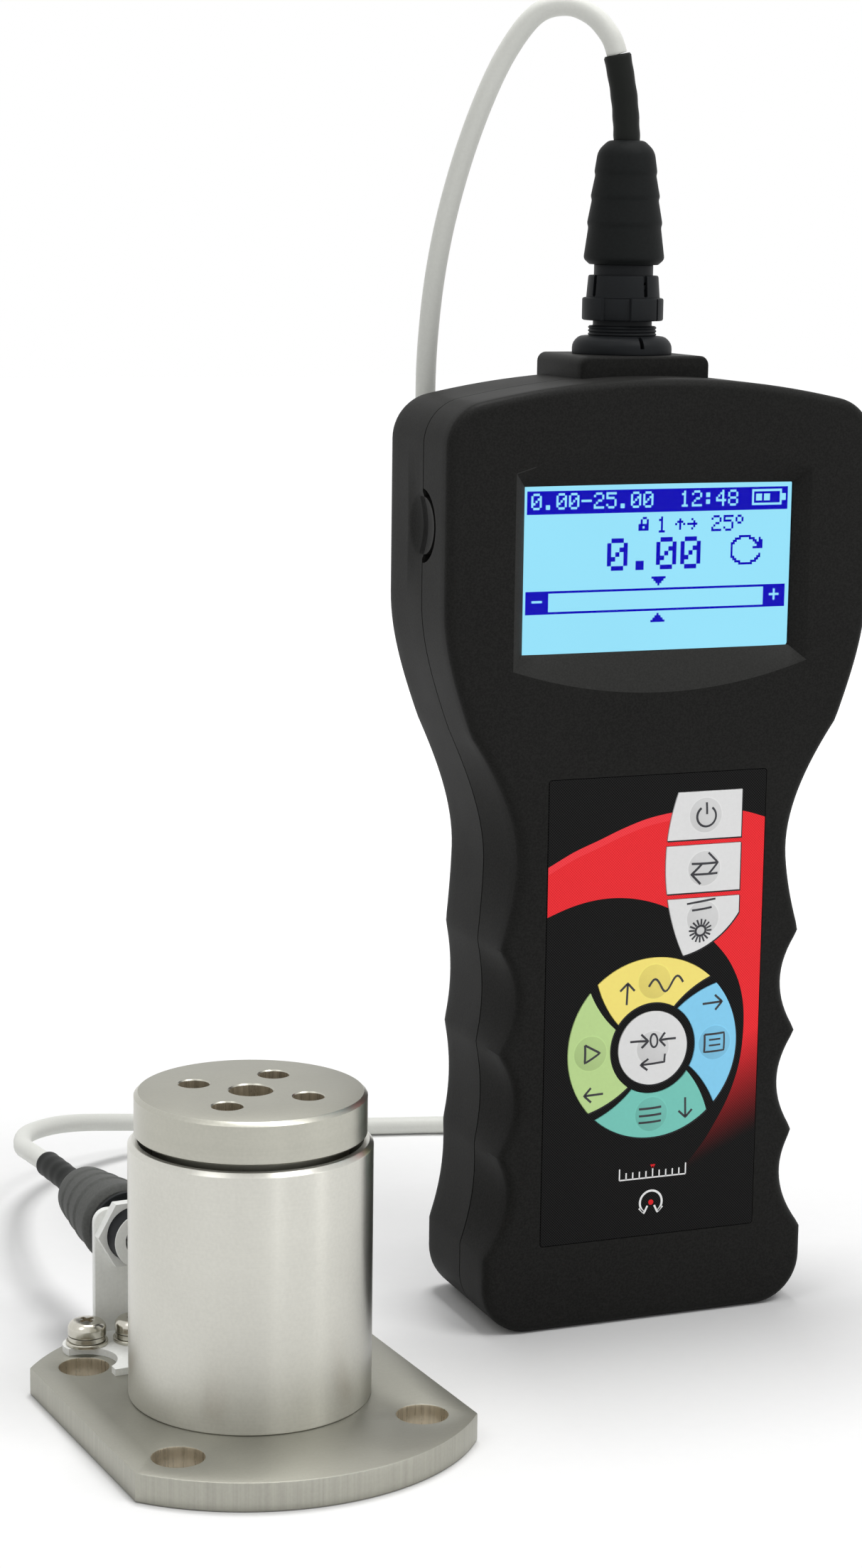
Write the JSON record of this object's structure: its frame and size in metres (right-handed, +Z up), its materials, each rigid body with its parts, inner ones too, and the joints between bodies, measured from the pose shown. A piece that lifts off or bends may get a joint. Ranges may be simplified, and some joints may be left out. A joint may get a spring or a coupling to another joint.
{
  "type": "torque tester",
  "caption": "Digital torque tester: a hand-held indicator with display and membrane keys, cabled to a static torque sensor on a mounting plate.",
  "frame": {"origin": "centre of the sensor's mounting-hole circle, on the underside of its base plate, at table height", "axes": "+Z up along the sensor's axis, -Y the side the indicator's face looks to, +X from the sensor to the indicator"},
  "size_m": [0.192, 0.2362, 0.292],
  "materials": {
    "housing": "fine grained, matte",
    "window": "clear, polished",
    "display": "smooth, lit from behind",
    "light_guide": "milky",
    "board": "lacquered",
    "overlay": "printed film with a fine weave",
    "film": "plain film",
    "switch_film": "plain film with printed tracks",
    "dome_steel": "pressed sheet",
    "key_grey": "printed film, satin",
    "key_yellow": "printed film, satin",
    "key_blue": "printed film, satin",
    "key_teal": "printed film, satin",
    "key_green": "printed film, satin",
    "battery": "shrink film",
    "screw_steel": "zinc plated",
    "connector": "matt black plating",
    "insulator": "moulded",
    "contact": "gold plated",
    "boot": "moulded, matte",
    "sleeve": "heat shrink, satin",
    "cable": "extruded jacket, satin",
    "wire": "jacket, matte",
    "bracket": "bent sheet, satin",
    "plate": "fine ground, satin",
    "cover": "turned, satin",
    "gauge": "foil on film"
  },
  "bodies": {
    "tester": {"front_housing": "housing", "rear_housing": "housing", "display_window": "window", "lcd_module": "display", "backlight_panel": "light_guide", "main_board": "board", "keypad_overlay": "overlay", "keypad_spacer": "film", "switch_film": "switch_film", "snap_domes": "dome_steel", "battery_pack": "battery", "housing_screws": "screw_steel", "panel_socket": "connector", "socket_nut": "screw_steel", "socket_insulator": "insulator", "contact_pins": "contact", "socket_lead": "wire", "plug_body": "connector", "plug_insert": "insulator", "plug_boot": "boot", "plug_sleeve": "sleeve", "cord": "cable", "sensor_sleeve": "sleeve", "sensor_boot": "boot", "sensor_connector": "connector", "connector_nut": "screw_steel", "connector_bracket": "bracket", "bracket_screws": "screw_steel", "bracket_washers": "screw_steel", "base_plate": "plate", "sensor_cover": "cover", "measuring_element": "plate", "element_screws": "screw_steel", "strain_gauges": "gauge", "sensor_lead": "wire", "lead_grommet": "boot"},
    "key_on_off": {"key_on_off": "key_grey"},
    "key_unit": {"key_unit": "key_grey"},
    "key_backlight": {"key_backlight": "key_grey"},
    "key_function": {"key_function": "key_yellow"},
    "key_print": {"key_print": "key_blue"},
    "key_menu": {"key_menu": "key_teal"},
    "key_start": {"key_start": "key_green"},
    "key_enter": {"key_enter": "key_grey"},
    "coupling_ring": {"coupling_ring": "connector"}
  },
  "joints": [
    {"name": "key_on_off_press", "type": "slide", "parent": "tester", "child": "key_on_off", "axis": [0, 1, 0], "range_m": [0, 0.0003], "stiffness_N_per_m": 6000},
    {"name": "key_unit_press", "type": "slide", "parent": "tester", "child": "key_unit", "axis": [0, 1, 0], "range_m": [0, 0.0003], "stiffness_N_per_m": 6000},
    {"name": "key_backlight_press", "type": "slide", "parent": "tester", "child": "key_backlight", "axis": [0, 1, 0], "range_m": [0, 0.0003], "stiffness_N_per_m": 6000},
    {"name": "key_function_press", "type": "slide", "parent": "tester", "child": "key_function", "axis": [0, 1, 0], "range_m": [0, 0.0003], "stiffness_N_per_m": 6000},
    {"name": "key_print_press", "type": "slide", "parent": "tester", "child": "key_print", "axis": [0, 1, 0], "range_m": [0, 0.0003], "stiffness_N_per_m": 6000},
    {"name": "key_menu_press", "type": "slide", "parent": "tester", "child": "key_menu", "axis": [0, 1, 0], "range_m": [0, 0.0003], "stiffness_N_per_m": 6000},
    {"name": "key_start_press", "type": "slide", "parent": "tester", "child": "key_start", "axis": [0, 1, 0], "range_m": [0, 0.0003], "stiffness_N_per_m": 6000},
    {"name": "key_enter_press", "type": "slide", "parent": "tester", "child": "key_enter", "axis": [0, 1, 0], "range_m": [0, 0.0003], "stiffness_N_per_m": 6000},
    {"name": "coupling_ring_turn", "type": "hinge", "parent": "tester", "child": "coupling_ring", "pos_m": [0.102, 0.0505, 0.2265], "axis": [0, 0, 1], "range_deg": [0, 60]}
  ]
}
